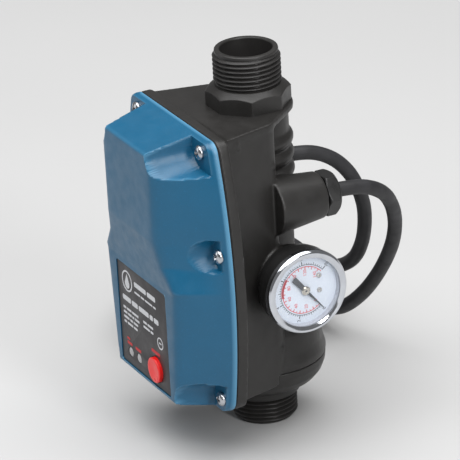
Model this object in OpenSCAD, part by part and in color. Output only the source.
// Electronic pump pressure controller with a pressure gauge and two leads.
// X points right seen from the cover, Y points to the back, Z points up along the water pipe.
// The origin is the centre of the inlet's end face.

/* [Water pipe] */
// Height from the inlet's end face to the outlet's end face
total_h = 195.7; // [180:0.1:260]
// Outside diameter of both pipe threads (G1)
thread_d = 33.25; // [27:0.05:41]
// Thread pitch (11 turns per inch)
thread_pitch = 2.309; // [1.8:0.001:2.8]
// Depth of the thread
thread_depth = 1.479; // [1:0.001:1.8]
// Length of the outlet thread
outlet_thread_l = 18; // [14:0.5:24]
// Length of the inlet thread
inlet_thread_l = 14; // [11:0.5:18]
// Diameter of the water passage at both ends
bore_d = 25.7; // [20:0.1:27]
// Outside diameter of the pipe behind the box
pipe_d = 38; // [34:0.5:46]
// How far the round ribs stand out from the pipe
rib_proud = 2; // [1:0.1:3]
// Distance between the round ribs
rib_pitch = 8.3; // [7:0.1:10]
// Number of round ribs
rib_count = 3; // [1:1:4]
// Width of the outlet collar across its flats
collar_w = 38.8; // [36:0.1:50]
// Height of the outlet collar
collar_h = 10.3; // [8:0.1:14]

/* [Drum] */
// Diameter of the drum that holds the diaphragm
drum_d = 64; // [58:0.5:78]
// Height of the joint between the drum's two halves
drum_split_z = 34.5; // [30:0.5:42]
// Height of the drum's upper half
drum_upper_h = 33; // [28:0.5:40]
// Wall of the drum
drum_wall = 3; // [2:0.1:4]
// Diameter of the neck above the inlet thread
neck_d = 36.6; // [34:0.1:46]
// Travel of the diaphragm piston
piston_travel = 3; // [1:0.1:4]
// Travel of the check valve
valve_travel = 9; // [5:0.5:12]

/* [Box] */
// Half width of the box at the flange
box_front_x = 39; // [34:0.5:47]
// Half width of the box near its back corners
box_rear_x = 33; // [28:0.5:40]
// Wall of the box
box_wall = 2.5; // [1.5:0.1:3.5]
// Thickness of the top plate
plate_t = 3.3; // [2:0.1:5]
// Height of the box's underside
box_bottom_z = 29; // [24:0.5:34]
// Distance from the drum's front to the flange's front face
flange_gap = 6.6; // [2:0.1:15]
// Thickness of the flange
flange_t = 5.7; // [4:0.1:7]

/* [Cover] */
// Half width of the cover at its widest
cover_x = 53.5; // [46:0.5:65]
// Depth of the cover at its lower face
cover_depth = 24.6; // [20:0.1:30]
// How far the upper face stands out from the lower face
brow = 3.8; // [2:0.1:6]
// Wall of the cover
cover_wall = 2.2; // [1.5:0.1:3]
// Thickness of the gasket
gasket_t = 0.6; // [0.4:0.1:1.5]
// Diameter of a cover screw's head
head_d = 7.2; // [5.5:0.1:9]
// Diameter of a cover screw's shank
shank_d = 3.5; // [2.5:0.1:4.5]
// Width of the label plate
label_w = 53; // [44:0.5:64]
// Height of the label plate
label_h = 54; // [45:0.5:60]
// Diameter of the reset button
button_d = 13; // [10:0.1:16]
// Travel of the reset button
button_travel = 1.5; // [1:0.1:2.5]
// Diameter of an indicator lens
lens_d = 5; // [4:0.1:7]

/* [Gauge] */
// Outside diameter of the gauge's bezel
bezel_d = 43; // [38:0.5:50]
// Height of the gauge's centre
gauge_z = 86; // [80:0.5:95]
// Distance from the pipe axis to the bezel's front
gauge_front_x = 54; // [52:0.5:64]
// Depth of the gauge with its case
gauge_depth = 17.5; // [16.5:0.5:21]
// Angle of the zero mark below the back direction
zero_angle = 50; // [40:1:55]
// Turn of the needle over its scale
needle_sweep = 270; // [240:1:280]

/* [Leads] */
// Diameter of a lead
cord_d = 7.4; // [6:0.1:9]
// Distance of a gland from the middle
gland_x = 26.5; // [22:0.5:32]
// Height of the glands
gland_z = 122.5; // [112:0.5:130]
// Distance from the pipe axis to the end of a gland's boss
gland_boss_y = 22; // [18:0.5:28]
// Length of a gland nut
gland_nut_l = 6.7; // [5:0.1:9]
// Corner to corner size of a gland nut
gland_nut_d = 23.4; // [20:0.1:28]

/* [Hidden] */

$fn = 64;
eps = 0.01;
fit = 0.05;
clear = 0.3;

// Water pipe
thread_r = thread_d / 2;
core_r = thread_r - thread_depth;
crest = thread_pitch / 6;
thread_root = 0.4;
thread_start = 1;
thread_chamfer = 0.8;
bore_r = bore_d / 2;
pipe_r = pipe_d / 2;
outlet_z = total_h - outlet_thread_l;
plate_top_z = outlet_z - collar_h;
plate_bottom_z = plate_top_z - plate_t;
chamber_r = pipe_r - 3.5;
passage_r = bore_r + 0.8;
rib_top_z = plate_bottom_z - 15;

// Drum, valve and piston
drum_r = drum_d / 2;
neck_r = neck_d / 2;
neck_top_z = inlet_thread_l + 4;
drum_inner_r = drum_r - drum_wall;
drum_top_z = drum_split_z + drum_upper_h;
bead_h = 2;
seal_d = 2;
guide_tube_r = 12.5;
guide_tube_wall = 2.5;
guide_tube_z = drum_split_z + 14;
piston_r = guide_tube_r - fit;
piston_plate_r = drum_inner_r - 7;
piston_plate_t = 3;
piston_bore_r = 9;
piston_z = drum_split_z + 0.5;
spring_room_top_z = drum_top_z - 7;
seat_z = drum_top_z;
seat_t = 3;
seat_r = 9;
valve_r = chamber_r - 2.5;
valve_face_t = 1.6;
valve_disc_t = 3;
valve_z = seat_z + seat_t;
valve_stem_r = 3;
valve_stem_top_z = valve_z + valve_face_t + valve_disc_t + 37;
guide_z = valve_stem_top_z - 8;
guide_t = 5;
magnet_r = 6.5;
magnet_h = 6;
pressure_magnet_r = 1.8;

// Box and flange
board_gap = 1.5;
flange_y = drum_r + flange_gap;
flange_rear_y = flange_y - flange_t;
box_corner_r = 12.5;
box_corner_y = 10;
box_back_y = 2;
plate_step = 0.5;
flange_top_z = plate_top_z + 1.3;
flange_bottom_z = box_bottom_z - 0.5;
side_r = 274;
side_z = 90;
flange_top_r = 6;
flange_bottom_r = 9;
gland_seal_l = 7;

// Cover
cover_rear_y = flange_y + gasket_t;
pad_y = cover_rear_y + cover_depth;
brow_y = pad_y + brow;
ear_y = cover_rear_y + 4.3;
pad_bottom_x = cover_x - 21;
pad_top_x = cover_x - 16;
pad_bottom_z = box_bottom_z + 4.5;
pad_top_z = 95;
brow_x = 26;
brow_bottom_z = 118;
brow_top_z = plate_top_z - 4.5;
screw_x = [cover_x - 19.9, cover_x - 5.5, cover_x - 11.5];
screw_z = [plate_top_z - 4.9, 113.9, box_bottom_z + 7.2];
pocket_r = [9, 8, 8.5];
screw_l = 10;
label_z = 63;
label_t = 0.6;
label_recess = 1;
label_y = pad_y - label_recess;
button_x = 11.8;
button_z = 44.9;
lens_x = [-17, -8];
lens_z = 42.8;
lens_l = 12;

// Circuit board
board_y = flange_rear_y + board_gap;
board_t = 1.6;
board_front_y = board_y + board_t;
board_x = box_front_x - box_wall - 3.5;
board_bottom_z = 39;
board_top_z = 154;
post_x = board_x - 4.5;
post_z = [board_bottom_z + 9, board_top_z - 9];
post_r = 3.2;
// Parts on the board, each as its left, right, bottom and top edges and its height
relay_at = [-24, 5, 96, 109, 16];
film_capacitor_at = [-24, 3, 76, 87, 15];
terminals_at = [-25.4, 25.4, 122, 134, 12];
terminal_pitch = 8;
terminal_hole_r = 2.2;
can_at = [18, 84];
can_r = 6.3;
can_h = 17;
reed_at = [[-8, 60], [10, 93]];
reed_r = 1.2;
reed_l = 16;
lamp_r = 2.4;

// Gauge
bezel_r = bezel_d / 2;
bezel_t = 4.5;
case_r = bezel_r - 0.9;
case_wall = 1.2;
case_back_x = gauge_front_x - gauge_depth;
dial_x = gauge_front_x - 4.2;
dial_r = bezel_r - 2.7;
dial_t = 0.6;
window_x = gauge_front_x - 1.8;
window_t = 1;
dial_screw_y = 7.9;
dial_screw_z = [5.9, -1.8];
needle_t = 0.4;
needle_x = dial_x + 0.9;
arbor_r = 0.9;
sector_pin_r = 1;
stem_block = 5;
stem_r = 6.58;
stem_in_x = chamber_r + 0.6;
gear_x = dial_x - 4.4;
gear_t = 1.2;
pinion_r = 1.5;
pinion_teeth = 8;
gear_ratio = 8;
sector_r = pinion_r * gear_ratio;
sector_teeth = 9;
sector_z = gauge_z - pinion_r - sector_r;
tooth_tip = 0.2;
tooth_root = 0.3;
movement_x = gear_x - 1.6;

// Glands and leads
cord_r = cord_d / 2;
boss_hole_r = 7.5;
cord_start_y = 6;
nut_y = gland_boss_y + 0.8;
gland_end_y = nut_y + gland_nut_l;
cord_sides = 12;

// Route of the supply lead from its gland to its coil, in the order that it runs
SUPPLY_ROUTE = [
    [-26.5, 6, 122.5], [-26.5, 20, 122.5], [-26.5, 32, 122.5], [-26, 46.5, 120.5], [-25, 57.5, 115],
    [-24, 65.5, 106.5], [-23.5, 70.5, 96.5], [-24.5, 74, 85], [-26.5, 75, 73], [-31.5, 75.5, 61.5],
    [-39, 75, 51], [-50, 73.5, 43], [-64.5, 73, 37.5], [-84, 72.4, 35.3], [-100, 72.4, 35.3]
];
// Route of the supply lead from its coil to its plug
PLUG_ROUTE = [[-100, 72.4, 20.5], [-112, 72.4, 20.2], [-124, 72.4, 19.5], [-136, 72.4, 19]];
// Route of the pump lead from its gland to its coil
PUMP_ROUTE = [
    [26.5, 6, 122.5], [26.5, 20, 122.5], [26.5, 32, 122.5], [25.5, 47.5, 120], [22, 59.5, 113],
    [16.5, 67.5, 102.5], [9.5, 73, 89.5], [1, 76, 75], [-9.5, 77, 60], [-21, 76.5, 45.5],
    [-33.5, 75.5, 32.5], [-47, 74, 21.5], [-61, 73, 14.5], [-76, 72.4, 12.1], [-88, 72.4, 12.1],
    [-100, 72.4, 12.1]
];
// Route of the pump lead from its coil to its bare end
END_ROUTE = [[-122, 66.6, 4.7], [-130, 62, 4.7], [-138, 57.3, 4.7], [-145.5, 52.8, 4.7]];
coil_at = [-100, 28];
coil_mid_r = 40.7;
coil_out_r = coil_mid_r + cord_d;
coil_in_r = coil_mid_r - cord_d;
coil_gap = 1;
pump_layers = 2;
supply_layers = 3;
tie_t = 0.8;
tie_w = 9;
tie_in_r = sqrt(coil_in_r * coil_in_r - tie_w * tie_w / 4) - fit;
plug_start = [-136, 72.4, 19];
plug_r = 18.5;
plug_l = 60;
pin_l = 19;
pin_r = 2.4;
pin_pitch = 19;

// Colours
black = [0.15, 0.15, 0.16];
dark = [0.22, 0.22, 0.23];
blue = [0.17, 0.36, 0.48];
grey = [0.25, 0.25, 0.26];
steel = [0.78, 0.79, 0.8];
brass = [0.78, 0.62, 0.32];
white = [0.88, 0.9, 0.92];
red = [0.85, 0.15, 0.15];
rubber = [0.08, 0.08, 0.08];

// Points on an arc in a plane
function arc(at, r, a0, a1, n) =
    [for (i = [0:n]) let (a = a0 + (a1 - a0) * i / n) [at[0] + r * cos(a), at[1] + r * sin(a)]];

// Mirrors a list of points across the second axis, in the reverse order
function mirrored(pts) = [for (i = [len(pts) - 1:-1:0]) [-pts[i][0], pts[i][1]]];

// Barrel outline of the flange, the gasket and the cover's back edge, in X and Z, drawn in by inset
function barrel(inset) =
    let (
        big = side_r - inset,
        cx = cover_x - side_r,
        top_r = flange_top_r - min(inset, flange_top_r - 1),
        low_r = flange_bottom_r - min(inset, flange_bottom_r - 1),
        top_cz = flange_top_z - inset - top_r,
        low_cz = flange_bottom_z + inset + low_r,
        a_top = asin((top_cz - side_z) / (big - top_r)),
        a_low = asin((low_cz - side_z) / (big - low_r)),
        right = concat(
            arc([cx + (big - low_r) * cos(a_low), low_cz], low_r, -90, a_low, 6),
            arc([cx, side_z], big, a_low * 0.9, a_top * 0.9, 10),
            arc([cx + (big - top_r) * cos(a_top), top_cz], top_r, a_top, 90, 5)
        )
    )
    concat(right, mirrored(right));

// Outline of the top plate in X and Y, drawn in by inset: a trapezoid with round corners around the pipe
function plate_outline(inset) =
    let (
        corner = [box_rear_x - box_corner_r, -box_corner_y],
        round_r = pipe_r + rib_proud + 0.5,
        away = norm(corner),
        a = atan2(corner[1], corner[0]) + acos((round_r - box_corner_r) / away),
        right = concat(
            [[box_front_x - inset, -flange_rear_y]],
            arc(corner, box_corner_r - inset, 8, a, 8),
            arc([0, 0], round_r - inset, a, 90, 8)
        )
    )
    concat(right, mirrored(right));

// Side outline of the box in Y and Z, drawn in by inset
function side_outline(inset) =
    concat(
        [[-flange_rear_y - eps, plate_bottom_z + 1], [-flange_rear_y - eps, box_bottom_z + inset]],
        arc([-box_back_y - 9, box_bottom_z + 9], 9 - inset, -90, 0, 8),
        [[-box_back_y - inset, plate_bottom_z + 1]]
    );

module along_x(x) { translate([x, 0, 0]) rotate([90, 0, 90]) children(); }
module along_y(y, l) { translate([0, -y, 0]) rotate([90, 0, 0]) linear_extrude(l) children(); }
module rod_y(x, z, y0, y1, r) { translate([x, y0, z]) rotate([-90, 0, 0]) cylinder(r = r, h = y1 - y0); }
module rod_x(y, z, x0, x1, r) { translate([x0, y, z]) rotate([0, 90, 0]) cylinder(r = r, h = x1 - x0); }
module ring(r0, r1, z0, z1) {
    rotate_extrude() translate([r0, z0]) square([r1 - r0, z1 - z0]);
}
module block(x0, x1, y0, y1, z0, z1) { translate([x0, y0, z0]) cube([x1 - x0, y1 - y0, z1 - z0]); }

// Thread of ring-shaped ridges on a tube, with a chamfered end at z = l
module thread(l) {
    turns = floor((l - thread_start - thread_chamfer) / thread_pitch);
    ridge = thread_pitch - thread_root;
    rotate_extrude() polygon(concat(
        [[bore_r, 0], [core_r, 0]],
        [for (i = [0:turns - 1], k = [0:3])
            [k == 0 || k == 3 ? core_r : thread_r,
             thread_start + i * thread_pitch + [0, (ridge - crest) / 2, (ridge + crest) / 2, ridge][k]]],
        [[core_r, l - thread_chamfer], [core_r - thread_chamfer, l], [bore_r, l]]
    ));
}

// Coil spring of round wire as stacked rings, which stand for its turns
module spring(r, wire_r, z0, z1, turns) {
    for (i = [0:turns - 1])
        translate([0, 0, z0 + wire_r + (z1 - z0 - 2 * wire_r) * i / (turns - 1)])
            rotate_extrude() translate([r, 0]) circle(r = wire_r, $fn = 16);
}

module body_box() {
    difference() {
        union() {
            intersection() {
                translate([0, 0, box_bottom_z]) linear_extrude(plate_bottom_z - box_bottom_z)
                    polygon(plate_outline(plate_step));
                translate([-60, 0, 0]) rotate([90, 0, 90]) linear_extrude(120)
                    polygon(side_outline(0));
            }
            translate([0, 0, plate_bottom_z]) linear_extrude(plate_t) polygon(plate_outline(0));
            along_y(flange_rear_y, flange_t) polygon(barrel(0));
        }
        intersection() {
            translate([0, 0, box_bottom_z + box_wall])
                linear_extrude(plate_bottom_z - box_bottom_z - box_wall) polygon(plate_outline(box_wall));
            translate([-60, 0, 0]) rotate([90, 0, 90]) linear_extrude(120)
                polygon(side_outline(box_wall));
        }
        block(-box_front_x + box_wall, box_front_x - box_wall, -flange_y - eps, -flange_rear_y + eps,
              box_bottom_z + box_wall, plate_bottom_z);
    }
}

module body_pipe() {
    translate([0, 0, drum_split_z]) cylinder(r = pipe_r, h = plate_bottom_z - drum_split_z);
    for (i = [0:rib_count - 1])
        translate([0, 0, rib_top_z - i * rib_pitch]) rotate_extrude()
            translate([pipe_r - 1, 0]) intersection() {
                translate([1 - rib_pitch / 2 + rib_proud, 0]) circle(r = rib_pitch / 2);
                translate([0, -rib_pitch / 2]) square([rib_pitch, rib_pitch]);
            }
}

module body_drum() {
    rotate_extrude() polygon([
        [0, drum_split_z], [drum_r, drum_split_z], [drum_r, drum_split_z + 3],
        [drum_r - 1.4, drum_split_z + 8], [drum_r - 2.6, drum_split_z + 18],
        [drum_r - 6, drum_split_z + 26], [pipe_r, drum_top_z + 1], [0, drum_top_z + 1]
    ]);
}

// Space inside the drum and the pipe, as one turned shape: spring room, guide tube, seat, valve room, outlet
module body_hollow() {
    rotate_extrude() polygon([
        [0, drum_split_z - eps], [drum_inner_r, drum_split_z - eps], [drum_inner_r, drum_split_z + 14],
        [drum_inner_r - 5, spring_room_top_z], [guide_tube_r + guide_tube_wall, spring_room_top_z],
        [guide_tube_r + guide_tube_wall, guide_tube_z], [guide_tube_r, guide_tube_z],
        [guide_tube_r, seat_z - 3], [seat_r, seat_z - 3], [seat_r, seat_z],
        [chamber_r, seat_z], [chamber_r, guide_z + guide_t], [passage_r, guide_z + guide_t + 3],
        [passage_r, plate_top_z + 1], [0, plate_top_z + 1]
    ]);
}

// Wall of the box around the drum's lower half
module drum_skirt() {
    intersection() {
        ring(drum_r, drum_r + clear + box_wall, box_bottom_z, drum_split_z + box_wall);
        block(-box_front_x, box_front_x, -flange_y, -box_back_y - box_corner_y, box_bottom_z, plate_top_z);
    }
}

module body_housing() {
    color(black) difference() {
        union() {
            body_box();
            body_pipe();
            body_drum();
            for (s = [-1, 1]) {
                translate([s * gland_x, -box_back_y - box_wall, gland_z]) rotate([-90, 0, 0])
                    cylinder(r1 = 14.6, r2 = 11.6, h = gland_boss_y + box_back_y + box_wall);
                rod_y(s * screw_x[0], screw_z[0], -flange_y, -flange_rear_y + 8, 4.4);
                for (z = post_z) rod_y(s * post_x, z, -board_y, -box_back_y - 1, post_r);
            }
            drum_skirt();
            rod_x(0, gauge_z, pipe_r - 2, case_back_x, 11);
            rod_x(0, gauge_z, box_rear_x - 3, case_back_x, 17);
        }
        body_hollow();
        translate([0, 0, box_bottom_z - 1]) cylinder(r = drum_r + clear, h = drum_split_z - box_bottom_z + 1);
        for (s = [-1, 1]) {
            rod_y(s * gland_x, gland_z, 8, gland_boss_y + eps, boss_hole_r);
            rod_y(s * gland_x, gland_z, -box_back_y - box_wall - 1, 9, cord_r + clear);
            for (i = [0:2])
                rod_y(s * screw_x[i], screw_z[i], -flange_y - eps, -ear_y + screw_l, shank_d / 2 + fit);
            for (z = post_z) rod_y(s * post_x, z, -board_y - eps, -board_y + 9, 1.5 + fit);
        }
        rod_x(0, gauge_z, pipe_r - 4, case_back_x + 1, stem_r + fit);
    }
}

module outlet_fitting() {
    chamfer = 3;
    color(black) union() {
        difference() {
            translate([0, 0, plate_top_z]) rotate(22.5)
                cylinder(d = collar_w / cos(22.5), h = collar_h, $fn = 8);
            translate([0, 0, plate_top_z - 1]) cylinder(r = bore_r, h = collar_h + 2);
            rotate_extrude() polygon([
                [core_r + 1.5, outlet_z + eps], [collar_w, outlet_z + eps], [collar_w, outlet_z - chamfer * 2],
                [collar_w / 2 / cos(22.5) + 0.2, outlet_z - chamfer]
            ]);
        }
        translate([0, 0, outlet_z]) thread(outlet_thread_l);
    }
}

module inlet_base() {
    floor_z = neck_top_z + 3;
    color(black) union() {
        translate([0, 0, inlet_thread_l]) mirror([0, 0, 1]) thread(inlet_thread_l);
        rotate_extrude() polygon([
            [bore_r, inlet_thread_l], [neck_r, inlet_thread_l], [neck_r, neck_top_z],
            [neck_r + 3.5, neck_top_z + 1], [drum_r - 5.5, neck_top_z + 4], [drum_r - 2.2, neck_top_z + 8],
            [drum_r - 0.4, drum_split_z - 4], [drum_r - 0.2, drum_split_z - 0.3],
            [drum_inner_r, drum_split_z - 0.3], [drum_inner_r, drum_split_z - bead_h],
            [drum_inner_r - 2.5, drum_split_z - bead_h], [drum_inner_r - 3, floor_z + 4],
            [bore_r + 4, floor_z], [bore_r, floor_z]
        ]);
    }
}

module drum_seal() { color(rubber) ring(drum_inner_r + 0.3, drum_r - 0.8, drum_split_z - 0.3, drum_split_z); }

module diaphragm() {
    color(rubber) rotate_extrude() polygon([
        [piston_bore_r + 5.5, piston_z - 1.4], [piston_plate_r, piston_z - 1.4],
        [piston_plate_r + 1, piston_z - 1.9], [drum_inner_r - 2.8, drum_split_z - bead_h + 0.2],
        [drum_inner_r - 2.3, drum_split_z - bead_h],
        [drum_inner_r, drum_split_z - bead_h], [drum_inner_r, drum_split_z],
        [drum_inner_r - 2.5, drum_split_z], [piston_plate_r + 1.5, piston_z - 1],
        [piston_plate_r, piston_z], [piston_bore_r + 5.5, piston_z]
    ]);
}

module diaphragm_piston() {
    foot_r = piston_bore_r + 5.4;
    color(white) rotate_extrude() polygon([
        [piston_bore_r, piston_z - 4.4], [foot_r + 3, piston_z - 4.4], [foot_r + 3, piston_z - 1.4 - fit],
        [foot_r, piston_z - 1.4 - fit], [foot_r, piston_z + fit], [piston_plate_r, piston_z + fit],
        [piston_plate_r, piston_z + piston_plate_t], [piston_r, piston_z + piston_plate_t],
        [piston_r, seat_z - 3 - piston_travel - 1], [piston_bore_r, seat_z - 3 - piston_travel - 1]
    ]);
}

module pressure_magnet() {
    z = piston_z + piston_plate_t;
    color(steel) translate([0, -piston_plate_r + pressure_magnet_r + 0.2, z]) cylinder(r = pressure_magnet_r, h = 5);
}

module diaphragm_spring() {
    foot_z = piston_z + piston_plate_t;
    color(steel) spring(guide_tube_r + guide_tube_wall + 1.9, 1, foot_z, spring_room_top_z, 6);
}

module valve_seat() { color(brass) ring(seat_r, chamber_r - fit, seat_z, valve_z); }

module check_valve() {
    z = valve_z + valve_face_t;
    color(white) union() {
        translate([0, 0, z]) cylinder(r = valve_r, h = valve_disc_t);
        translate([0, 0, z]) cylinder(r = valve_stem_r, h = valve_stem_top_z - z);
    }
}

module valve_face() { color(rubber) translate([0, 0, valve_z]) cylinder(r = valve_r - 1, h = valve_face_t); }

module flow_magnet() {
    z = valve_z + valve_face_t + valve_disc_t;
    color(steel) ring(valve_stem_r + fit, magnet_r, z, z + magnet_h);
}

module valve_spring() {
    z = valve_z + valve_face_t + valve_disc_t;
    color(steel) spring(magnet_r + 1.6, 0.6, z, guide_z, 7);
}

module valve_guide() {
    color(white) difference() {
        union() {
            ring(chamber_r - 2, chamber_r - fit, guide_z, guide_z + guide_t);
            ring(valve_stem_r + fit, valve_stem_r + 2.2, guide_z, guide_z + guide_t + valve_travel);
            for (a = [0:120:240]) rotate(a)
                block(valve_stem_r + 1, chamber_r - 1.5, -1, 1, guide_z, guide_z + guide_t);
            ring(valve_stem_r + 2, magnet_r + 2.8, guide_z, guide_z + 1.2);
        }
        translate([0, 0, guide_z - 1]) cylinder(r = valve_stem_r + fit, h = 40);
    }
}

module cover_gasket() {
    color(rubber) difference() {
        along_y(flange_y, gasket_t) difference() {
            polygon(barrel(0.5));
            polygon(barrel(3.6));
        }
        for (s = [-1, 1], i = [0:2])
            rod_y(s * screw_x[i], screw_z[i], -cover_rear_y - 1, -flange_y + 1, shank_d / 2 + clear);
    }
}

// Rounded knob that sets a corner of the cover's front
module knob(x, y, z, r) { for (s = [-1, 1]) translate([s * (x - r), -(y - r), z]) sphere(r = r, $fn = 20); }

// Cover's outer shape, drawn in by inset for its inside
module cover_shape(inset) {
    r = 5 - inset;
    rear = inset > 0 ? -1 : 0;
    hull() {
        along_y(cover_rear_y + rear, 2) polygon(barrel(inset));
        knob(pad_bottom_x - inset, pad_y - inset, pad_bottom_z + 5, r);
        knob(pad_top_x - inset, pad_y - inset, pad_top_z - 5, r);
    }
    hull() {
        along_y(cover_rear_y + rear, 2) intersection() {
            polygon(barrel(inset));
            translate([-80, pad_top_z - 5]) square([160, 120]);
        }
        knob(pad_top_x - inset, pad_y - inset, pad_top_z - 2, r);
        knob(brow_x - inset, brow_y - inset, brow_bottom_z, r);
        knob(brow_x - inset, brow_y - inset, brow_top_z - 5, r);
    }
}

// One screw pocket, round where its screw stands and open outwards, drawn out by grow for its wall
module pocket(i, grow) {
    r = pocket_r[i] + grow;
    far = 60;
    at = [screw_x[i], screw_z[i]];
    round_side = i == 0 ? [180, 270] : i == 1 ? [90, 270] : [90, 180];
    ends = i == 0 ? [at + [far, -r], at + [far, far], at + [-r, far]]
        : i == 1 ? [at + [far, -r], at + [far, r]]
        : [at + [-r, -far], at + [far, -far], at + [far, r]];
    round_part = arc(at, r, round_side[0], round_side[1], 8);
    pts = i == 2 ? concat(ends, round_part) : concat(round_part, ends);
    along_y(ear_y - grow, 60) polygon(pts);
}

module pockets(grow) { for (s = [0, 1], i = [0:2]) mirror([s, 0, 0]) pocket(i, grow); }

module front_cover() {
    color(blue) difference() {
        cover_shape(0);
        pockets(0);
        difference() {
            cover_shape(cover_wall);
            pockets(cover_wall);
        }
        block(-label_w / 2 - 0.4, label_w / 2 + 0.4, -pad_y - 1, -label_y,
              label_z - label_h / 2 - 0.4, label_z + label_h / 2 + 0.4);
        rod_y(button_x, button_z, -pad_y - 1, -pad_y + 6, button_d / 2 + clear);
        for (x = lens_x) rod_y(x, lens_z, -pad_y - 1, -pad_y + 6, lens_d / 2 + fit);
        for (s = [-1, 1], i = [0:2])
            rod_y(s * screw_x[i], screw_z[i], -ear_y - 1, -cover_rear_y + 1, shank_d / 2 + clear);
    }
}

module cover_screws() {
    color(steel) for (s = [-1, 1], i = [0:2]) translate([s * screw_x[i], -ear_y, screw_z[i]])
        rotate([90, 0, 0]) difference() {
            union() {
                translate([0, 0, -screw_l + 0.5]) cylinder(d = shank_d, h = screw_l);
                intersection() {
                    cylinder(d = head_d, h = 2.6);
                    translate([0, 0, -3.2]) sphere(r = 5.8);
                }
            }
            for (a = [0, 90]) rotate(a) translate([-2.2, -0.5, 1.2]) cube([4.4, 1, 3]);
        }
}

module label_plate() {
    color(grey) difference() {
        block(-label_w / 2, label_w / 2, -label_y - label_t, -label_y,
              label_z - label_h / 2, label_z + label_h / 2);
        rod_y(button_x, button_z, -label_y - 2, -label_y + 1, button_d / 2 + clear);
        for (x = lens_x) rod_y(x, lens_z, -label_y - 2, -label_y + 1, lens_d / 2 + fit);
    }
}

module lens(x) { rod_y(x, lens_z, -label_y - label_t - clear, -label_y + lens_l, lens_d / 2); }
module power_lens() { color(white) lens(lens_x[0]); }
module fault_lens() { color(white) lens(lens_x[1]); }

button_front_y = label_y + label_t + 2;
button_collar_y = pad_y - cover_wall - clear;
switch_front_y = board_front_y + 7;
button_stem_y = switch_front_y + 2 + button_travel + clear;

module reset_button() {
    color(red) translate([button_x, 0, button_z]) union() {
        rod_y(0, 0, -button_front_y + 0.8, -button_collar_y, button_d / 2);
        translate([0, -button_front_y, 0]) rotate([-90, 0, 0])
            cylinder(r1 = button_d / 2 - 0.8, r2 = button_d / 2, h = 0.8);
        rod_y(0, 0, -button_collar_y, -button_collar_y + 1.2, button_d / 2 + 1);
        rod_y(0, 0, -button_collar_y, -button_stem_y, 2.2);
    }
}

module button_spring() {
    color(steel) translate([button_x, 0, button_z]) rotate([90, 0, 0])
        spring(3.6, 0.4, switch_front_y, button_collar_y - 1.2, 6);
}

module circuit_board() {
    color([0.1, 0.35, 0.2]) difference() {
        block(-board_x, board_x, -board_front_y, -board_y, board_bottom_z, board_top_z);
        for (s = [-1, 1], z = post_z) rod_y(s * post_x, z, -board_front_y - 1, -board_y + 1, 1.6);
    }
}

module board_screws() {
    color(steel) for (s = [-1, 1], z = post_z) {
        rod_y(s * post_x, z, -board_front_y, -board_y + 8, 1.5);
        rod_y(s * post_x, z, -board_front_y - 2, -board_front_y, 2.8);
    }
}

// Block-shaped part that stands on the circuit board
module on_board(at) { block(at[0], at[1], -board_front_y - at[4], -board_front_y, at[2], at[3]); }

module relay() { color([0.15, 0.35, 0.6]) on_board(relay_at); }
module film_capacitor() { color([0.75, 0.3, 0.15]) on_board(film_capacitor_at); }
module electrolytic_capacitor() {
    color(dark) rod_y(can_at[0], can_at[1], -board_front_y - can_h, -board_front_y, can_r);
}

module terminal_block() {
    front = -board_front_y - terminals_at[4];
    middle = (terminals_at[2] + terminals_at[3]) / 2;
    color([0.2, 0.45, 0.3]) difference() {
        on_board(terminals_at);
        for (i = [-2.5:2.5]) {
            rod_y(i * terminal_pitch, middle, front - 1, front + 8, terminal_hole_r);
            block(i * terminal_pitch - 2, i * terminal_pitch + 2, front + 7, -board_front_y - 1,
                  middle, terminals_at[3] + 2);
        }
    }
}

module reed_switches() {
    color([0.7, 0.85, 0.8]) for (at = reed_at)
        rod_x(-board_front_y - reed_r - 0.1, at[1], at[0], at[0] + reed_l, reed_r);
}

module indicator_lamps() {
    color(white) for (x = lens_x) rod_y(x, lens_z, -label_y + lens_l + 0.6, -board_front_y, lamp_r);
}

module reset_switch() {
    color(dark) union() {
        block(button_x - 6, button_x + 6, -switch_front_y, -board_front_y, button_z - 5.5, button_z + 6);
        rod_y(button_x, button_z, -switch_front_y - 2, -switch_front_y, 1.75);
    }
}

module gauge_stem() {
    color(brass) difference() {
        union() {
            rod_x(0, gauge_z, stem_in_x, case_back_x + case_wall, stem_r);
            block(case_back_x + case_wall, movement_x - 3.6, -stem_block, stem_block,
                  gauge_z - stem_block, gauge_z + stem_block);
        }
        rod_x(0, gauge_z, stem_in_x - 1, case_back_x + 3, 1.8);
    }
}

module gauge_case() {
    front = gauge_front_x - bezel_t + 1;
    color(black) translate([0, 0, gauge_z]) rotate([0, 90, 0]) rotate_extrude() polygon([
        [stem_r + fit, case_back_x], [case_r - 2.2, case_back_x], [case_r - 1, case_back_x + 1.2],
        [case_r, front], [case_r - case_wall, front], [case_r - 1 - case_wall, case_back_x + case_wall],
        [stem_r + fit, case_back_x + case_wall]
    ]);
}

module gauge_bezel() {
    front = gauge_front_x;
    back = front - bezel_t;
    color(steel) translate([0, 0, gauge_z]) rotate([0, 90, 0]) rotate_extrude() polygon([
        [case_r + fit, back], [bezel_r, back], [bezel_r, front - 1], [bezel_r - 1, front],
        [bezel_r - 3, front], [bezel_r - 3.8, front - 0.4], [bezel_r - 3.8, window_x + window_t + fit],
        [case_r + fit, window_x + window_t + fit]
    ]);
}

module gauge_window() { color(white) rod_x(0, gauge_z, window_x, window_x + window_t, case_r - 0.3); }

module gauge_dial() {
    color(white) difference() {
        rod_x(0, gauge_z, dial_x - dial_t, dial_x, dial_r);
        rod_x(0, gauge_z, dial_x - 2, dial_x + 1, arbor_r + clear);
        for (z = dial_screw_z) rod_x(dial_screw_y, gauge_z + z, dial_x - 2, dial_x + 1, 0.75 + fit);
    }
}

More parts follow.
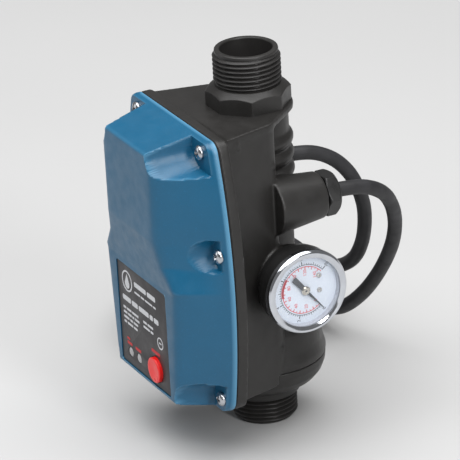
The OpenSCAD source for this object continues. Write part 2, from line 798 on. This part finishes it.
module dial_screws() {
    color(steel) for (z = dial_screw_z) {
        rod_x(dial_screw_y, gauge_z + z, dial_x, dial_x + 0.6, 1.3);
        rod_x(dial_screw_y, gauge_z + z, movement_x - 1, dial_x, 0.75);
    }
}

module bourdon_tube() {
    tube_r = 15.5;
    color(brass) translate([movement_x - 3.4, 0, gauge_z]) rotate([0, 90, 0]) union() {
        rotate(90) rotate_extrude(angle = 215) translate([tube_r, 0]) square([1.6, 4], center = true);
        translate([0, stem_block, -2]) cube([1.6, tube_r - stem_block, 4]);
    }
}

module movement_plate() {
    color(brass) difference() {
        union() {
            block(movement_x - 1, movement_x, -6, 10.5, sector_z - 2.4, gauge_z + 8);
            block(movement_x - 3.6, movement_x - 1, -4, 4, gauge_z - 4, gauge_z + 4);
            for (z = dial_screw_z) rod_x(dial_screw_y, gauge_z + z, movement_x, dial_x - dial_t, 1.5);
        }
        rod_x(0, gauge_z, movement_x - 2.5, movement_x + 1, arbor_r + fit);
        rod_x(0, sector_z, movement_x - 2.5, movement_x + 1, sector_pin_r + fit);
        for (z = dial_screw_z) rod_x(dial_screw_y, gauge_z + z, movement_x - 2, dial_x, 0.75 + fit);
    }
}

// Outline of a toothed rim around a centre, with straight-sided teeth
function toothed(r, teeth, a0, a1) =
    [for (i = [0:teeth - 1], k = [0:3])
        let (
            a = a0 + (a1 - a0) * (i + [0.2, 0.38, 0.62, 0.8][k]) / teeth,
            q = k == 1 || k == 2 ? r + tooth_tip : r - tooth_root
        )
        [q * cos(a), q * sin(a)]];

// Toothed sector on its pin, with its rim over the pin where it meets the pinion
module sector_gear() {
    pitch = 360 / (pinion_teeth * gear_ratio);
    rim_start = 180 - 7.5 * pitch;
    rim = toothed(sector_r, sector_teeth, rim_start, rim_start + sector_teeth * pitch);
    color(brass) translate([0, 0, sector_z]) rotate([0, 90, 0]) union() {
        translate([0, 0, gear_x]) linear_extrude(gear_t) polygon(concat([[1.9, 1.5]], rim, [[1.2, -2]]));
        translate([0, 0, movement_x - 1]) cylinder(r = sector_pin_r, h = gear_x + gear_t - movement_x + 1.6);
    }
}

module gauge_needle() {
    tip = 14.8;
    tail = 9.5;
    color(rubber) translate([needle_x, 0, gauge_z]) rotate([-zero_angle, 0, 0]) rotate([90, 0, 90])
        linear_extrude(needle_t) difference() {
            union() {
                polygon([[-tail, -1.5], [-tail, 1.5], [0, 0.9], [tip, 0.15], [tip, -0.15], [0, -0.9]]);
                circle(r = 2);
            }
            circle(r = arbor_r);
        }
}

module needle_arbor() {
    cap_x = needle_x + needle_t;
    color(brass) translate([0, 0, gauge_z]) rotate([0, 90, 0]) union() {
        translate([0, 0, movement_x - 1.8]) cylinder(r = arbor_r, h = cap_x - movement_x + 1.9);
        translate([0, 0, gear_x - 0.2]) linear_extrude(gear_t + 0.4)
            polygon(toothed(pinion_r, pinion_teeth, 0, 360));
        translate([0, 0, cap_x]) cylinder(r1 = 2.2, r2 = 1.6, h = 0.5);
    }
}

module gland_nut(side) {
    color(dark) translate([side * gland_x, 0, gland_z]) rotate([-90, 0, 0]) difference() {
        union() {
            translate([0, 0, nut_y]) intersection() {
                cylinder(d = gland_nut_d, h = gland_nut_l, $fn = 6);
                cylinder(r1 = gland_nut_d / 2 - 0.6, r2 = gland_nut_d / 2 - 1.2, h = gland_nut_l);
            }
            translate([0, 0, 8 + gland_seal_l])
                cylinder(r = boss_hole_r - fit, h = nut_y - 8 - gland_seal_l + 1);
        }
        cylinder(r = cord_r + clear, h = gland_end_y + 1);
    }
}
module left_gland_nut() { gland_nut(-1); }
module right_gland_nut() { gland_nut(1); }

module gland_seal(side) {
    color(rubber) translate([side * gland_x, 0, gland_z]) rotate([-90, 0, 0])
        ring(cord_r + fit, boss_hole_r - fit, 8 + fit, 8 + gland_seal_l);
}
module left_gland_seal() { gland_seal(-1); }
module right_gland_seal() { gland_seal(1); }

// Direction of a route at one of its points
function heading(pts, i) =
    let (v = pts[min(i + 1, len(pts) - 1)] - pts[max(i - 1, 0)]) v / norm(v);

// One ring of a round cord around a route's point, upright where it can be
function cord_ring(p, t, r) =
    let (
        side = cross(t, abs(t[2]) > 0.9 ? [0, 1, 0] : [0, 0, 1]),
        u = side / norm(side),
        w = cross(u, t)
    )
    [for (k = [0:cord_sides - 1]) let (a = 360 * k / cord_sides) p + r * (cos(a) * u + sin(a) * w)];

// Round cord swept along a route
module cord(pts) {
    n = cord_sides;
    last = len(pts) - 1;
    rings = [for (i = [0:last]) each cord_ring(pts[i], heading(pts, i), cord_r)];
    sides = [for (i = [0:last - 1], k = [0:n - 1])
        [i * n + k, i * n + (k + 1) % n, (i + 1) * n + (k + 1) % n, (i + 1) * n + k]];
    polyhedron(rings, concat([[for (k = [n - 1:-1:0]) k]], sides, [[for (k = [0:n - 1]) last * n + k]]));
}

// Shape that a wound coil fills, standing on z
module coil(z, layers) {
    translate([coil_at[0], coil_at[1], 0])
        ring(coil_mid_r - cord_d, coil_mid_r + cord_d, z, z + layers * cord_d);
}

// Flat band around a coil at an angle
module tie(angle, z, layers) {
    h = layers * cord_d;
    translate([coil_at[0], coil_at[1], z]) rotate(angle) difference() {
        block(tie_in_r - tie_t, coil_out_r + tie_t, -tie_w / 2, tie_w / 2, -tie_t, h + tie_t);
        block(tie_in_r, coil_out_r + fit, -tie_w, tie_w, -fit, h + fit);
    }
}

pump_coil_z = coil_gap;
supply_coil_z = pump_coil_z + pump_layers * cord_d + coil_gap;

module supply_lead() { color(dark) { cord(SUPPLY_ROUTE); cord(PLUG_ROUTE); } }
module supply_coil() { color(dark) coil(supply_coil_z, supply_layers); }
module supply_tie() { color(grey) tie(200, supply_coil_z, supply_layers); }
module pump_lead() { color(dark) { cord(PUMP_ROUTE); cord(END_ROUTE); } }
module pump_coil() { color(dark) coil(pump_coil_z, pump_layers); }
module pump_tie() { color(grey) tie(325, pump_coil_z, pump_layers); }

// Plug with a tapered strain relief, lying on its side
module supply_plug() {
    color(rubber) translate(plug_start) rotate([0, -90, 0]) rotate_extrude() polygon([
        [0, 0], [cord_r + 1.5, 0], [cord_r + 3, 20], [11, 32], [15, 42],
        [plug_r, 46], [plug_r, plug_l], [0, plug_l]
    ]);
}

module plug_pins() {
    color(steel) for (s = [-1, 1])
        translate(plug_start + [-plug_l, s * pin_pitch / 2, 0]) rotate([0, -90, 0])
            cylinder(r = pin_r, h = pin_l);
}

// Three bare conductors with crimped ends, for the terminals of a pump
module pump_lead_ends() {
    start = END_ROUTE[len(END_ROUTE) - 1];
    color(steel) translate([start[0], start[1], 0]) rotate(210.5) for (i = [-1, 0, 1])
        translate([0, i * 2.6, start[2] - 2.2]) rotate([0, 90, i * 5]) cylinder(r = 1.3, h = 34);
}

body_housing();
outlet_fitting();
inlet_base();
drum_seal();
diaphragm();
diaphragm_piston();
pressure_magnet();
diaphragm_spring();
valve_seat();
check_valve();
valve_face();
flow_magnet();
valve_spring();
valve_guide();
cover_gasket();
front_cover();
cover_screws();
label_plate();
power_lens();
fault_lens();
reset_button();
button_spring();
circuit_board();
board_screws();
relay();
film_capacitor();
electrolytic_capacitor();
terminal_block();
reed_switches();
indicator_lamps();
reset_switch();
gauge_stem();
gauge_case();
gauge_bezel();
gauge_window();
gauge_dial();
dial_screws();
bourdon_tube();
movement_plate();
sector_gear();
gauge_needle();
needle_arbor();
left_gland_nut();
right_gland_nut();
left_gland_seal();
right_gland_seal();
supply_lead();
supply_coil();
supply_tie();
supply_plug();
plug_pins();
pump_lead();
pump_coil();
pump_tie();
pump_lead_ends();
